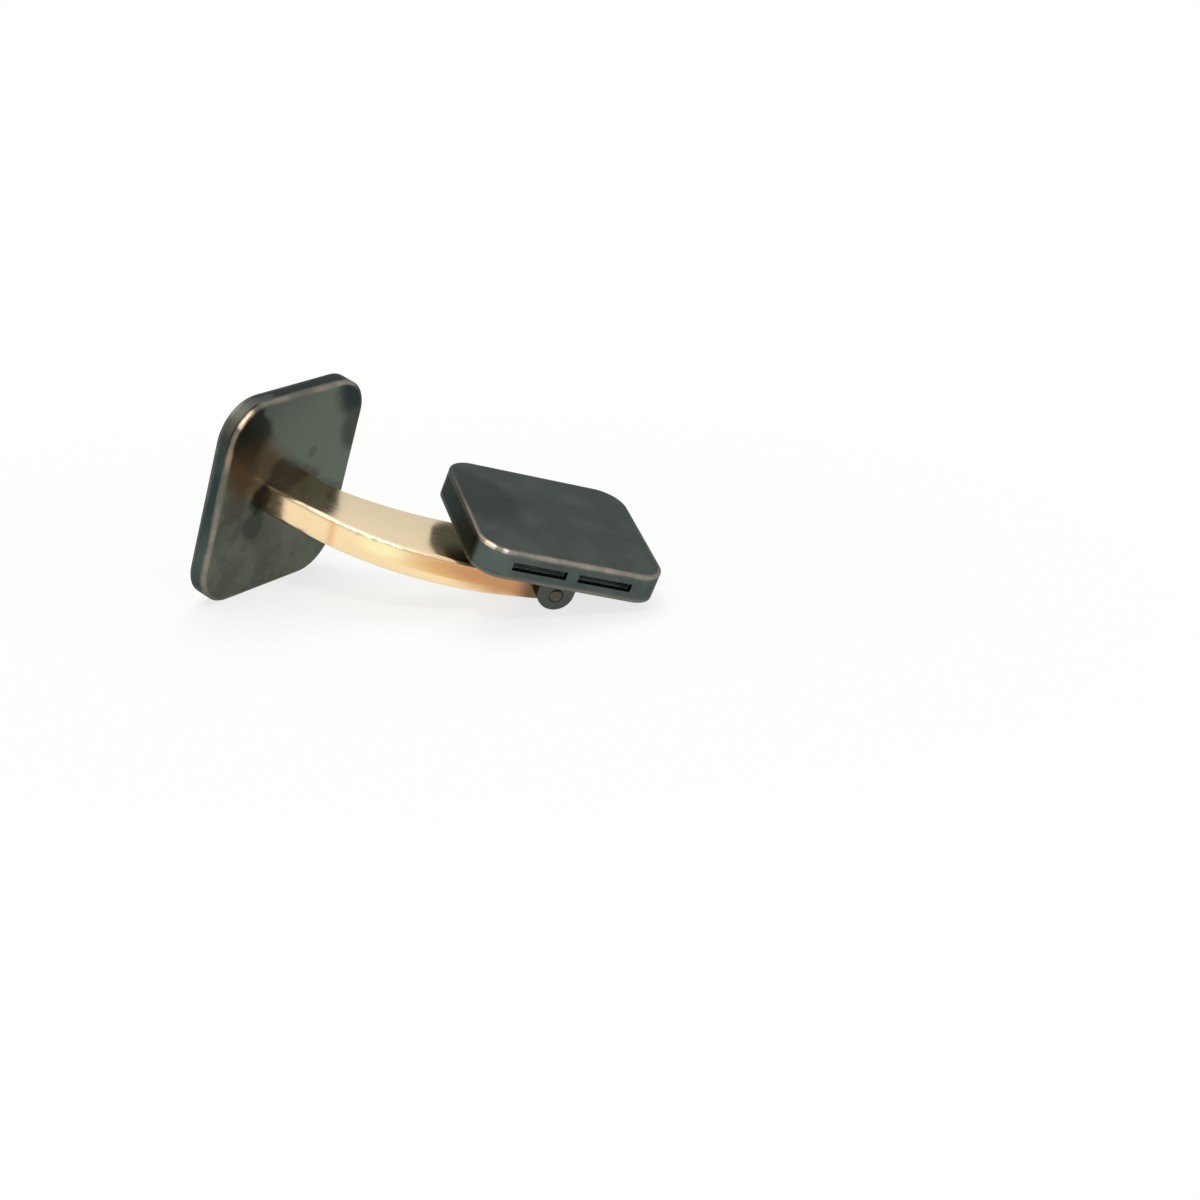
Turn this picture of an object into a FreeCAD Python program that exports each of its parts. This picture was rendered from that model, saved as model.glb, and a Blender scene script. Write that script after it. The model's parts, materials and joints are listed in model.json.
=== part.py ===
import FreeCAD, Part
import Sketcher
import math
import os
from FreeCAD import Placement, Rotation, Vector

# A cufflink: a flat head, a flat bar curved edgewise, and a toggle that swings on the bar's end.
# Head and toggle are flat boxes, each made of two plates soldered to a band.
# Lengths are in millimetres and angles in degrees.

# Driving dimensions

SIZES = (
    ("head_width", "14.7", "head, along the plane in which the bar curves"),
    ("head_height", "16.9", "head, square to that plane"),
    ("head_thickness", "1.5", "head over both plates"),
    ("head_corner", "3.2", "corner radius of the head's outline"),
    ("plate_gauge", "0.45", "sheet of the four plates"),
    ("band_gauge", "0.6", "strip of the two bands"),
    ("plate_edge_round", "0.15", "softened rim of each plate's outer face"),
    ("bar_radius", "20.4", "bar's bend, at the middle of its width"),
    ("bar_sweep", "50.9", "angle of the bend"),
    ("bar_tail", "3.0", "straight run from the bend to the hinge axis"),
    ("bar_root_width", "4.6", "bar at the head"),
    ("bar_tip_width", "6.5", "bar at the hinge"),
    ("bar_thickness", "2.34", "bar, square to its bend"),
    ("bar_edge_round", "0.3", "rounding of the bar's long edges"),
    ("tenon_width", "3.0", "tenon of the bar in the head"),
    ("tenon_thickness", "1.3", "tenon, square to its width"),
    ("tenon_clearance", "0.02", "between the tenon and its slot"),
    ("toggle_length", "15.0", "toggle along the bar"),
    ("toggle_width", "13.3", "toggle along the hinge axis"),
    ("toggle_thickness", "2.38", "toggle over both plates"),
    ("toggle_corner", "2.25", "corner radius of the toggle's outline"),
    ("toggle_tilt", "5.2", "how far the folded toggle stands off the bar"),
    ("underside_gap", "0.64", "between the bar and the toggle folded flat on it"),
    ("hinge_offset", "0.44", "from the hinge axis back to the toggle's middle"),
    ("window_length", "4.3", "window in the toggle's band"),
    ("window_height", "0.66", "window, across the band"),
    ("window_divider", "0.95", "metal left between two windows"),
    ("ear_gauge", "1.0", "thickness of an ear"),
    ("ear_width", "2.9", "ear along the bar"),
    ("ear_reach", "1.3", "from the hinge axis to the ear's round end"),
    ("ear_gap", "0.06", "between an ear and the bar"),
    ("ear_edge_round", "0.2", "softened rim of an ear's outer face"),
    ("tongue_length", "1.8", "tongue of an ear in the base plate"),
    ("tongue_clearance", "0.02", "between a tongue and its slot"),
    ("pin_diameter", "1.1", "hinge pin"),
    ("pin_clearance", "0.03", "between the pin and the bar, on the radius"),
    ("rivet_clearance", "0.01", "between the pin and an ear, on the radius"),
    ("pin_proud", "0.12", "how far the pin's ends stand out of the ears"),
    ("pin_end_round", "0.25", "rounding of the pin's ends"),
    ("spring_gauge", "0.25", "leaf spring's strip"),
    ("spring_width", "4.4", "leaf spring along the hinge axis"),
    ("spring_side_gap", "1.21", "between the spring's end and the band, on the hinge's nearer side"),
    ("spring_touch", "0.08", "between the spring and the bar folded flat under it"),
    ("spring_end_gap", "0.02", "between the spring's ends and the top plate"),
    ("spring_window_gap", "0.2", "between the spring and its window in the base plate"),
)

doc = FreeCAD.newDocument("cufflink")
sheet = doc.addObject("Spreadsheet::Sheet", "dims")
for row, (alias, number, words) in enumerate(SIZES, start=1):
    sheet.set(f"A{row}", words)
    sheet.set(f"B{row}", number)
    sheet.setAlias(f"B{row}", alias)
doc.recompute()


def size(expression):
    """The number that an expression on the sheet gives."""
    return float(sheet.evalExpression(expression))


# Places that several pieces share, as expressions on the sheet

HINGE_DROP = "(dims.bar_thickness / 2 + dims.underside_gap)"
BAND_FLOOR = f"({HINGE_DROP} + dims.plate_gauge)"
BAND_ROOF = f"({HINGE_DROP} + dims.toggle_thickness - dims.plate_gauge)"
TOGGLE_TOP = f"({HINGE_DROP} + dims.toggle_thickness)"
EAR_FACE = "(dims.bar_tip_width / 2 + dims.ear_gap)"
EAR_OUTSIDE = f"({EAR_FACE} + dims.ear_gauge)"
EAR_CENTRE = "(dims.ear_width / 2 - dims.ear_reach)"
ROOT_X = "(-dims.bar_tail - dims.bar_radius * sin(dims.bar_sweep))"
ROOT_Y = "(dims.bar_radius * (1 - cos(dims.bar_sweep)))"
SPRING_SPAN = "(dims.toggle_length - 2 * (dims.hinge_offset + dims.band_gauge + dims.spring_side_gap))"
SPRING_LOW = "(dims.bar_thickness / 2 + dims.spring_touch)"
SPRING_RISE = f"({BAND_ROOF} - dims.spring_end_gap - {SPRING_LOW} - dims.spring_gauge)"
SPRING_INSIDE = f"((({SPRING_SPAN} / 2) ^ 2 + {SPRING_RISE} ^ 2) / (2 * {SPRING_RISE}))"
SPRING_OUTSIDE = f"({SPRING_INSIDE} + dims.spring_gauge)"
SPRING_DEPTH = f"({BAND_FLOOR} - {SPRING_LOW})"
SPRING_MOUTH = f"(2 * sqrt(2 * {SPRING_OUTSIDE} * {SPRING_DEPTH} - {SPRING_DEPTH} ^ 2))"

ALONG_X = Vector(1, 0, 0)
ALONG_Y = Vector(0, 1, 0)
ALONG_Z = Vector(0, 0, 1)
SKETCH_AXES = {"YZ_Plane": (ALONG_Y, ALONG_Z), "XY_Plane": (ALONG_X, ALONG_Y)}
SAME_PLACE = 1e-5


# Helpers for bodies, sketches and features

def new_body(name):
    body = doc.addObject("PartDesign::Body", name)
    body.Label = name
    return body


def new_sketch(body, role, title, **offsets):
    """A sketch on one of the body's own planes, shifted along its own x, y and z by expressions."""
    sketch = body.newObject("Sketcher::SketchObject", f"{body.Name}_{title}")
    plane = next(item for item in body.Origin.OriginFeatures if item.Role == role)
    sketch.AttachmentSupport = [(plane, "")]
    sketch.MapMode = "FlatFace"
    for axis, expression in offsets.items():
        sketch.setExpression(f"AttachmentOffset.Base.{axis}", expression)
    return sketch


def constrain(sketch, kind, *places):
    return sketch.addConstraint(Sketcher.Constraint(kind, *places))


def bind(sketch, title, expression, kind, *places):
    """Add a dimension to a sketch and tie it to the sheet."""
    index = constrain(sketch, kind, *places, size(expression))
    sketch.renameConstraint(index, title)
    sketch.setExpression(f"Constraints.{title}", expression)


def line(sketch, start, end):
    return sketch.addGeometry(Part.LineSegment(Vector(*start), Vector(*end)))


def arc(sketch, start, middle, end):
    return sketch.addGeometry(Part.Arc(Vector(*start), Vector(*middle), Vector(*end)))


def close_outline(sketch, chain, smooth=()):
    """Join curves into a loop. Each item is a curve and its far end; smooth curves run on from the last."""
    for (first, leaving), (second, far_end) in zip(chain, chain[1:] + chain[:1]):
        entering = 3 - far_end
        kind = "Tangent" if second in smooth else "Coincident"
        constrain(sketch, kind, first, leaving, second, entering)


def rectangle(sketch, wide, tall):
    """A rectangle about the sketch's origin."""
    half_x = size(wide) / 2
    half_y = size(tall) / 2
    corners = [(-half_x, -half_y), (half_x, -half_y), (half_x, half_y), (-half_x, half_y)]
    sides = [line(sketch, a, b) for a, b in zip(corners, corners[1:] + corners[:1])]
    close_outline(sketch, [(side, 2) for side in sides])
    for side, direction in zip(sides, ("Horizontal", "Vertical") * 2):
        constrain(sketch, direction, side)
    constrain(sketch, "Symmetric", sides[0], 1, sides[2], 1, -1, 1)
    bind(sketch, "wide", wide, "DistanceX", sides[0], 1, sides[0], 2)
    bind(sketch, "tall", tall, "DistanceY", sides[1], 1, sides[1], 2)


def circle(sketch, diameter):
    """A circle about the sketch's origin."""
    index = sketch.addGeometry(Part.Circle(Vector(), ALONG_Z, size(diameter) / 2))
    constrain(sketch, "Coincident", index, 3, -1, 1)
    bind(sketch, "bore", diameter, "Diameter", index)


def pad(sketch, length, side="One side"):
    body = sketch.getParentGeoFeatureGroup()
    feature = body.newObject("PartDesign::Pad", f"{sketch.Name}_pad")
    feature.Profile = sketch
    feature.SideType = side
    feature.setExpression("Length", length)
    doc.recompute()


def cut_through(sketch):
    """Cut an outline right through its body, both ways, and make sure that something was cut."""
    body = sketch.getParentGeoFeatureGroup()
    before = body.Tip.Shape.Volume
    feature = body.newObject("PartDesign::Pocket", f"{sketch.Name}_cut")
    feature.Profile = sketch
    feature.SideType = "Symmetric"
    feature.Type = "ThroughAll"
    doc.recompute()
    if not feature.Shape.Volume < before:
        raise RuntimeError(f"{feature.Name} cut nothing")


def round_edges(body, title, radius, chosen):
    """Fillet the edges of the body that the function chosen picks."""
    base = body.Tip
    names = [f"Edge{i}" for i, edge in enumerate(base.Shape.Edges, start=1) if chosen(edge)]
    feature = body.newObject("PartDesign::Fillet", f"{body.Name}_{title}")
    feature.Base = (base, names)
    feature.setExpression("Radius", radius)
    doc.recompute()


def same(first, second):
    return abs(first - second) < SAME_PLACE


def lies_at(edge, direction, level):
    """Whether a whole edge lies at one level along a direction."""
    return all(same(point.dot(direction), level) for point in edge.discretize(5))


def round_corners(body, role, title, wide, tall, radius, shift="0"):
    """Fillet the four edges that stand at the corners of a rectangle."""
    across, up = SKETCH_AXES[role]

    def at_corner(edge):
        middle = edge.CenterOfMass
        level_x = abs(middle.dot(across) - size(shift))
        level_y = abs(middle.dot(up))
        return same(level_x, size(wide) / 2) and same(level_y, size(tall) / 2)

    round_edges(body, title, radius, at_corner)


def round_rim(body, direction, level):
    """Soften the rim of a plate's outer face."""
    round_edges(body, "rim", "dims.plate_edge_round", lambda edge: lies_at(edge, direction, size(level)))


# Flat boxes: head and toggle are layers of one outline, two plates with a band between them.
# An outline has its plane, its two sides, its corner radius and its shift along the first side.

HEAD = ("YZ_Plane", "dims.head_width", "dims.head_height", "dims.head_corner", "0")
TOGGLE_MIDDLE = "(-dims.hinge_offset)"
TOGGLE = ("XY_Plane", "dims.toggle_length", "dims.toggle_width", "dims.toggle_corner", TOGGLE_MIDDLE)


def layer(name, outline, start, thickness, band=False):
    """One layer of a box, solid for a plate and hollow for a band."""
    role, length, width, corner, shift = outline
    body = new_body(name)
    sketch = new_sketch(body, role, "outline", x=shift, z=start)
    rectangle(sketch, length, width)
    pad(sketch, thickness)
    if band:
        hollow_out(body, outline)
    round_corners(body, role, "corners", length, width, corner, shift)
    return body


def hollow_out(body, outline):
    """Leave only a strip along a layer's rim, with its inner corners about the outer ones' centres."""
    role, length, width, corner, shift = outline
    inner_length = f"{length} - 2 * dims.band_gauge"
    inner_width = f"{width} - 2 * dims.band_gauge"
    sketch = new_sketch(body, role, "hollow", x=shift)
    rectangle(sketch, inner_length, inner_width)
    cut_through(sketch)
    inner_corner = f"{corner} - dims.band_gauge"
    round_corners(body, role, "inner_corners", inner_length, inner_width, inner_corner, shift)


# Head: its own frame has its origin in the middle of the back plate's outer face, and X towards the bar

head_front_plate = layer("head_front_plate", HEAD, "-dims.head_thickness", "dims.plate_gauge")
round_rim(head_front_plate, ALONG_X, "-dims.head_thickness")

head_band_start = "dims.plate_gauge - dims.head_thickness"
head_band_width = "dims.head_thickness - 2 * dims.plate_gauge"
head_side_band = layer("head_side_band", HEAD, head_band_start, head_band_width, band=True)

head_back_plate = layer("head_back_plate", HEAD, "-dims.plate_gauge", "dims.plate_gauge")
round_rim(head_back_plate, ALONG_X, "0")
tenon_slot = new_sketch(head_back_plate, "YZ_Plane", "tenon_slot")
slot_width = "dims.tenon_width + 2 * dims.tenon_clearance"
slot_height = "dims.tenon_thickness + 2 * dims.tenon_clearance"
rectangle(tenon_slot, slot_width, slot_height)
cut_through(tenon_slot)


# Bar: its own frame has its origin on the hinge axis, X along the straight tail and Y along the axis.
# The tail has parallel sides. The bend widens from the head to the tail.

def bar_outline(sketch):
    sweep = math.radians(size("dims.bar_sweep"))
    tip = size("dims.bar_thickness / 2")
    tail = -size("dims.bar_tail")
    half_tip = size("dims.bar_tip_width / 2")
    half_root = size("dims.bar_root_width / 2")
    half_middle = (half_tip + half_root) / 2
    radius = size("dims.bar_radius")

    def on_bend(turn, offset):
        reach = radius + offset
        return (tail - reach * math.sin(turn), radius - reach * math.cos(turn))

    end = line(sketch, (tip, -half_tip), (tip, half_tip))
    far_tail = line(sketch, (tip, half_tip), (tail, half_tip))
    far_bend = arc(sketch, on_bend(sweep, -half_root), on_bend(sweep / 2, -half_middle), (tail, half_tip))
    root = line(sketch, on_bend(sweep, -half_root), on_bend(sweep, half_root))
    near_bend = arc(sketch, on_bend(sweep, half_root), on_bend(sweep / 2, half_middle), (tail, -half_tip))
    near_tail = line(sketch, (tail, -half_tip), (tip, -half_tip))
    root_middle = sketch.addGeometry(Part.Point(Vector(*on_bend(sweep, 0))), True)
    chain = [(end, 2), (far_tail, 2), (far_bend, 1), (root, 2), (near_bend, 2), (near_tail, 2)]
    close_outline(sketch, chain, smooth=(far_bend, near_tail))
    constrain(sketch, "Horizontal", far_tail)
    constrain(sketch, "Horizontal", near_tail)
    constrain(sketch, "Symmetric", end, 1, end, 2, -1)
    constrain(sketch, "Vertical", far_tail, 2, near_tail, 1)
    constrain(sketch, "Symmetric", root, 1, root, 2, root_middle, 1)
    bind(sketch, "tip", "dims.bar_thickness / 2", "DistanceX", -1, 1, end, 1)
    bind(sketch, "tip_width", "dims.bar_tip_width", "DistanceY", end, 1, end, 2)
    bind(sketch, "tail", "dims.bar_tail", "DistanceX", far_tail, 2, -1, 1)
    bind(sketch, "root_back", f"-{ROOT_X}", "DistanceX", root_middle, 1, -1, 1)
    bind(sketch, "root_aside", ROOT_Y, "DistanceY", -1, 1, root_middle, 1)
    lean_x = "dims.bar_root_width / 2 * sin(dims.bar_sweep)"
    lean_y = "dims.bar_root_width / 2 * cos(dims.bar_sweep)"
    bind(sketch, "root_lean_x", lean_x, "DistanceX", root, 2, root_middle, 1)
    bind(sketch, "root_lean_y", lean_y, "DistanceY", root, 2, root_middle, 1)


curved_bar = new_body("curved_bar")
bar_plan = new_sketch(curved_bar, "XY_Plane", "plan")
bar_outline(bar_plan)
pad(bar_plan, "dims.bar_thickness", "Symmetric")


def on_bar_rim(edge):
    """The rims of the bar's two broad faces, without the end that stands on the head."""
    half = size("dims.bar_thickness / 2")
    if not (lies_at(edge, ALONG_Z, half) or lies_at(edge, ALONG_Z, -half)):
        return False
    middle = edge.CenterOfMass
    return not (same(middle.x, size(ROOT_X)) and same(middle.y, size(ROOT_Y)))


round_edges(curved_bar, "rims", "dims.bar_edge_round", on_bar_rim)

tenon_x = f"{ROOT_X} - dims.plate_gauge / 2 * cos(dims.bar_sweep)"
tenon_y = f"{ROOT_Y} + dims.plate_gauge / 2 * sin(dims.bar_sweep)"
tenon_plan = new_sketch(curved_bar, "XY_Plane", "tenon", x=tenon_x, y=tenon_y)
tenon_plan.AttachmentOffset = Placement(Vector(), Rotation(-ALONG_Z, size("dims.bar_sweep")))
tenon_plan.setExpression("AttachmentOffset.Rotation.Angle", "dims.bar_sweep")
rectangle(tenon_plan, "dims.plate_gauge", "dims.tenon_width")
pad(tenon_plan, "dims.tenon_thickness", "Symmetric")

bar_bore = new_sketch(curved_bar, "XZ_Plane", "bore")
circle(bar_bore, "dims.pin_diameter + 2 * dims.pin_clearance")
cut_through(bar_bore)


# Toggle: its own frame has its origin on the hinge axis, X along its length, Y along the axis and Z outwards.
# Its base plate has a window for the spring and slots for the ears, and its band has windows in both sides.

toggle_base_plate = layer("toggle_base_plate", TOGGLE, HINGE_DROP, "dims.plate_gauge")
round_rim(toggle_base_plate, ALONG_Z, HINGE_DROP)
spring_window = new_sketch(toggle_base_plate, "XY_Plane", "spring_window")
mouth_length = f"{SPRING_MOUTH} + 2 * dims.spring_window_gap"
mouth_width = "dims.spring_width + 2 * dims.spring_window_gap"
rectangle(spring_window, mouth_length, mouth_width)
cut_through(spring_window)
for side, sign in (("near", "-"), ("far", "")):
    tongue_middle = f"{sign}({EAR_FACE} + dims.ear_gauge / 2)"
    tongue_slot = new_sketch(toggle_base_plate, "XY_Plane", f"{side}_tongue_slot", y=tongue_middle)
    slot_length = "dims.tongue_length + 2 * dims.tongue_clearance"
    slot_across = "dims.ear_gauge + 2 * dims.tongue_clearance"
    rectangle(tongue_slot, slot_length, slot_across)
    cut_through(tongue_slot)

toggle_band_width = f"{BAND_ROOF} - {BAND_FLOOR}"
toggle_side_band = layer("toggle_side_band", TOGGLE, BAND_FLOOR, toggle_band_width, band=True)
for end, sign in (("head", "-"), ("tail", "+")):
    window_x = f"{TOGGLE_MIDDLE} {sign} (dims.window_length + dims.window_divider) / 2"
    window_z = f"({BAND_FLOOR} + {BAND_ROOF}) / 2"
    window = new_sketch(toggle_side_band, "XZ_Plane", f"{end}_window", x=window_x, y=window_z)
    rectangle(window, "dims.window_length", "dims.window_height")
    cut_through(window)

toggle_top_plate = layer("toggle_top_plate", TOGGLE, BAND_ROOF, "dims.plate_gauge")
round_rim(toggle_top_plate, ALONG_Z, TOGGLE_TOP)


# Ears: one on each side of the bar, with a tongue through the base plate and a bore for the pin

def ear_outline(sketch):
    half = size("dims.ear_width / 2")
    tongue = size("dims.tongue_length / 2")
    centre = size(EAR_CENTRE)
    shoulder = size(HINGE_DROP)
    top = size(BAND_FLOOR)
    left = line(sketch, (-half, shoulder), (-half, centre))
    round_end = arc(sketch, (-half, centre), (0, centre - half), (half, centre))
    right = line(sketch, (half, centre), (half, shoulder))
    right_shoulder = line(sketch, (half, shoulder), (tongue, shoulder))
    tongue_right = line(sketch, (tongue, shoulder), (tongue, top))
    tongue_top = line(sketch, (tongue, top), (-tongue, top))
    tongue_left = line(sketch, (-tongue, top), (-tongue, shoulder))
    left_shoulder = line(sketch, (-tongue, shoulder), (-half, shoulder))
    loop = [left, round_end, right, right_shoulder, tongue_right, tongue_top, tongue_left, left_shoulder]
    close_outline(sketch, [(curve, 2) for curve in loop], smooth=(round_end, right))
    for curve in (left, right, tongue_right, tongue_left):
        constrain(sketch, "Vertical", curve)
    for curve in (right_shoulder, left_shoulder):
        constrain(sketch, "Horizontal", curve)
    constrain(sketch, "Symmetric", left, 1, right, 2, -2)
    constrain(sketch, "Symmetric", tongue_top, 1, tongue_top, 2, -2)
    bind(sketch, "ear_width", "dims.ear_width", "DistanceX", left, 1, right, 2)
    bind(sketch, "tongue", "dims.tongue_length", "DistanceX", tongue_top, 2, tongue_top, 1)
    bind(sketch, "shoulder", HINGE_DROP, "DistanceY", -1, 1, right, 2)
    bind(sketch, "tongue_rise", "dims.plate_gauge", "DistanceY", tongue_right, 1, tongue_right, 2)
    bind(sketch, "round_centre", EAR_CENTRE, "DistanceY", -1, 1, round_end, 3)
    circle(sketch, "dims.pin_diameter + 2 * dims.rivet_clearance")


def hinge_ear(name, start, outside):
    """An ear whose inner or outer face starts at a distance along -Y, and whose outer rim is softened."""
    body = new_body(name)
    sketch = new_sketch(body, "XZ_Plane", "outline", z=start)
    ear_outline(sketch)
    pad(sketch, "dims.ear_gauge")

    def on_outer_rim(edge):
        below = edge.CenterOfMass.z < size(HINGE_DROP) - SAME_PLACE
        return below and not edge.isClosed() and lies_at(edge, ALONG_Y, size(outside))

    round_edges(body, "rim", "dims.ear_edge_round", on_outer_rim)
    return body


hinge_ear_near = hinge_ear("hinge_ear_near", EAR_FACE, f"-{EAR_OUTSIDE}")
hinge_ear_far = hinge_ear("hinge_ear_far", f"-{EAR_OUTSIDE}", EAR_OUTSIDE)


# Hinge pin, riveted in the ears with its rounded ends a little proud

hinge_pin = new_body("hinge_pin")
pin_section = new_sketch(hinge_pin, "XZ_Plane", "section")
circle(pin_section, "dims.pin_diameter")
PIN_LENGTH = f"2 * ({EAR_OUTSIDE} + dims.pin_proud)"
pad(pin_section, PIN_LENGTH, "Symmetric")


def on_pin_end(edge):
    """The two round edges at the pin's ends."""
    return same(abs(edge.CenterOfMass.y), size(PIN_LENGTH) / 2)


round_edges(hinge_pin, "ends", "dims.pin_end_round", on_pin_end)


# Leaf spring: a bow whose ends bear on the top plate and whose back bears on the bar

def spring_outline(sketch):
    inside = size(SPRING_INSIDE)
    outside = size(SPRING_OUTSIDE)
    centre = size(SPRING_LOW) + outside
    half = math.asin(size(SPRING_SPAN) / 2 / inside)

    def on_bow(radius, turn):
        return (radius * math.sin(turn), centre - radius * math.cos(turn))

    back = arc(sketch, on_bow(outside, -half), on_bow(outside, 0), on_bow(outside, half))
    right_end = line(sketch, on_bow(outside, half), on_bow(inside, half))
    belly = arc(sketch, on_bow(inside, -half), on_bow(inside, 0), on_bow(inside, half))
    left_end = line(sketch, on_bow(inside, -half), on_bow(outside, -half))
    close_outline(sketch, [(back, 2), (right_end, 2), (belly, 1), (left_end, 2)])
    constrain(sketch, "PointOnObject", belly, 3, -2)
    constrain(sketch, "Coincident", back, 3, belly, 3)
    constrain(sketch, "PointOnObject", belly, 3, right_end)
    constrain(sketch, "PointOnObject", belly, 3, left_end)
    bind(sketch, "centre", f"{SPRING_LOW} + {SPRING_OUTSIDE}", "DistanceY", -1, 1, belly, 3)
    bind(sketch, "inside", SPRING_INSIDE, "Radius", belly)
    bind(sketch, "outside", SPRING_OUTSIDE, "Radius", back)
    bind(sketch, "left_half", f"{SPRING_SPAN} / 2", "DistanceX", belly, 1, -1, 1)
    bind(sketch, "right_half", f"{SPRING_SPAN} / 2", "DistanceX", -1, 1, belly, 2)


leaf_spring = new_body("leaf_spring")
spring_bow = new_sketch(leaf_spring, "XZ_Plane", "bow")
spring_outline(spring_bow)
pad(spring_bow, "dims.spring_width", "Symmetric")


# Assembly: the cufflink lies as it does on a table, on the head's lower edge and the near ear.
# The row's X runs from the head to the hinge, Z is up, and the origin is below its box's middle.

head_pieces = (head_front_plate, head_side_band, head_back_plate)
toggle_plates = (toggle_base_plate, toggle_side_band, toggle_top_plate)
toggle_pieces = toggle_plates + (hinge_ear_near, hinge_ear_far, hinge_pin, leaf_spring)
pieces = head_pieces + (curved_bar,) + toggle_pieces

sweep_turn = Rotation(ALONG_Z, size("dims.bar_sweep"))
toggle_turn = Rotation(ALONG_Y, size("dims.toggle_tilt"))
head_in_bar = Placement(Vector(size(ROOT_X), size(ROOT_Y), 0), sweep_turn.inverted())
hinge_in_head = head_in_bar.inverse().Base


def resting_tilt():
    """The angle about the head's lower edge at which the near ear touches the table as well."""
    ear_in_toggle = Vector(0, -size(EAR_OUTSIDE), size(EAR_CENTRE))
    ear = hinge_in_head + sweep_turn.multVec(toggle_turn.multVec(ear_in_toggle))
    rise = ear.z + size("dims.head_height / 2")
    distance = math.hypot(rise, ear.x)
    tilt = 0
    for _ in range(20):
        lean = math.sin(tilt) * math.sin(math.radians(size("dims.bar_sweep")))
        reach = size("dims.ear_width / 2") * math.sqrt(1 - lean * lean)
        tilt = math.atan2(rise, ear.x) - math.asin(reach / distance)
    return math.degrees(tilt)


tilt_turn = Rotation(ALONG_Y, resting_tilt())
hinge_seen = tilt_turn.multVec(hinge_in_head)
facing_turn = Rotation(-ALONG_Z, math.degrees(math.atan2(hinge_seen.y, hinge_seen.x)))
bar_turn = facing_turn * tilt_turn * sweep_turn


def place_all(hinge_place):
    bar_place = Placement(hinge_place, bar_turn)
    for body in head_pieces:
        body.Placement = bar_place * head_in_bar
    curved_bar.Placement = bar_place
    for body in toggle_pieces:
        body.Placement = bar_place * Placement(Vector(), toggle_turn)
    doc.recompute()


place_all(Vector())
box = FreeCAD.BoundBox()
for body in pieces:
    box.add(body.Shape.optimalBoundingBox(False, False))
hinge_point = Vector(-box.Center.x, -box.Center.y, -box.ZMin)
place_all(hinge_point)


# Checks, then one file for each piece

for item in doc.Objects:
    if "Invalid" in item.State or "Error" in item.State:
        raise RuntimeError(f"{item.Name} failed: {item.State}")
for body in pieces:
    if body.Shape.isNull() or not body.Shape.isValid() or len(body.Shape.Solids) != 1:
        raise RuntimeError(f"{body.Label} is not one good solid")

os.makedirs("parts", exist_ok=True)
for body in pieces:
    body.Shape.exportStep(f"parts/{body.Label}.step")
    print(f"{body.Label}: {body.Shape.Volume:.3f} mm3")

hinge_axis = bar_turn.multVec(ALONG_Y)
head_face = head_front_plate.Placement.multVec(Vector(-size("dims.head_thickness"), 0, 0))
head_normal = head_front_plate.Placement.Rotation.multVec(-ALONG_X)
print("hinge point", tuple(round(value, 4) for value in hinge_point))
print("hinge axis", tuple(round(value, 6) for value in hinge_axis))
print("head face", tuple(round(value, 4) for value in head_face))
print("head normal", tuple(round(value, 6) for value in head_normal))
print("tilt on the table", round(resting_tilt(), 3))
print("box", box.XLength, box.YLength, box.ZLength)
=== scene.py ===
# %% [markdown]
# # A cufflink with a swivelling toggle
# Two flat blackened boxes, a head and a toggle, are joined by a flat gold bar that is curved edgewise.
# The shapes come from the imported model, which stays fixed. Here the bar is modelled afresh with softer
# edges, and every piece gets the finish that the real metal has.

# %% Load the fixed frame
import json
import math

import bpy
from mathutils import Matrix, Vector


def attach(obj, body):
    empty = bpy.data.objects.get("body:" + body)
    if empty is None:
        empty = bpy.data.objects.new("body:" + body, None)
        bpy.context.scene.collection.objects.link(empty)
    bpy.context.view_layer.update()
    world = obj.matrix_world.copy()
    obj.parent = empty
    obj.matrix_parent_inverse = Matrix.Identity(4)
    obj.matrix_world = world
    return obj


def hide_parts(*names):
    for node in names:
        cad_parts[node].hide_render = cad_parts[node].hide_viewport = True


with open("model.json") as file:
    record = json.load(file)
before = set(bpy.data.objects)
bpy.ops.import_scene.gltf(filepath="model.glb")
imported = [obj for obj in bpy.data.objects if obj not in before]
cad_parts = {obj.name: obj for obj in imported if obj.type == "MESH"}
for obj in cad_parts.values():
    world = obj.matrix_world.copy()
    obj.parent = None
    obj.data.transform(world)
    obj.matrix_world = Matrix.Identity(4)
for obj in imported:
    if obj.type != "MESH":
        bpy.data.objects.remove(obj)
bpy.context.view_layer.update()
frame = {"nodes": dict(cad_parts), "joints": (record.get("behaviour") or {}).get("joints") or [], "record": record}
nodes = frame["nodes"]
print("pieces in the frame:", sorted(nodes))

# %% [markdown]
# ## Directions of the head, the bar and the toggle
# The cufflink lies tilted on the table, so no piece lines up with the world's axes. The frame's record
# says where the head's front face and the hinge are. Two cross products then give each piece a
# set of axes of its own, and a matrix that leads from there into the world.

# %% Axes from the hinge and the head's front face
MM = 0.001
hinge = frame["joints"][0]
hinge_point = Vector(hinge["pos_m"])
hinge_axis = Vector(hinge["axis"]).normalized()
head_front = next(mount for mount in frame["record"]["mounts"] if mount["name"] == "head_front")
into_bar = -Vector(head_front["axis"]).normalized()
bar_up = into_bar.cross(hinge_axis).normalized()


def rounded(values):
    """Numbers that are short enough to print."""
    return tuple(round(value, 2) for value in values)


def axes_matrix(origin, along, across, up):
    """A matrix that carries millimetres in a piece's own axes to metres in the world."""
    turn = Matrix((along, across, up)).transposed().to_4x4()
    return Matrix.Translation(origin) @ turn @ Matrix.Scale(MM, 4)


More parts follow.
